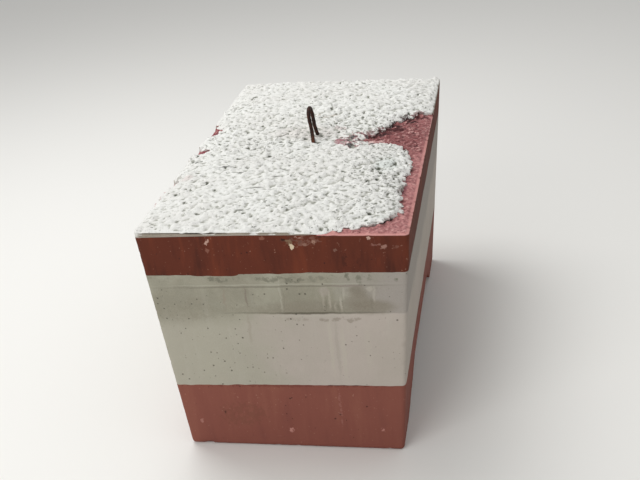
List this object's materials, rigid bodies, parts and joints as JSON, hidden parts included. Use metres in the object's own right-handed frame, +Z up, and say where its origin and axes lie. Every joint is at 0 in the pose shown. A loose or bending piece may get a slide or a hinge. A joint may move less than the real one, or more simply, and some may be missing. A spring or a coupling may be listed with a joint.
{
  "type": "concrete block",
  "caption": "Tapered concrete block cast in coloured lifts, with a fork tunnel under the base, a rough topping and a bent steel lifting loop.",
  "frame": {"origin": "middle of the base, on the floor", "axes": "+Y along the long horizontal side, +X across the block, +Z up"},
  "size_m": [0.6, 1.08, 0.6792],
  "materials": {
    "red_base_lift": "matte, cast against steel",
    "grey_middle_lift": "matte, cast against steel",
    "red_top_lift": "matte, cast against steel",
    "rough_topping": "rough, untrowelled",
    "lifting_loop": "rusty bar"
  },
  "bodies": {
    "root": {"red_base_lift": "red_base_lift", "grey_middle_lift": "grey_middle_lift", "red_top_lift": "red_top_lift", "rough_topping": "rough_topping", "lifting_loop": "lifting_loop"}
  },
  "joints": []
}
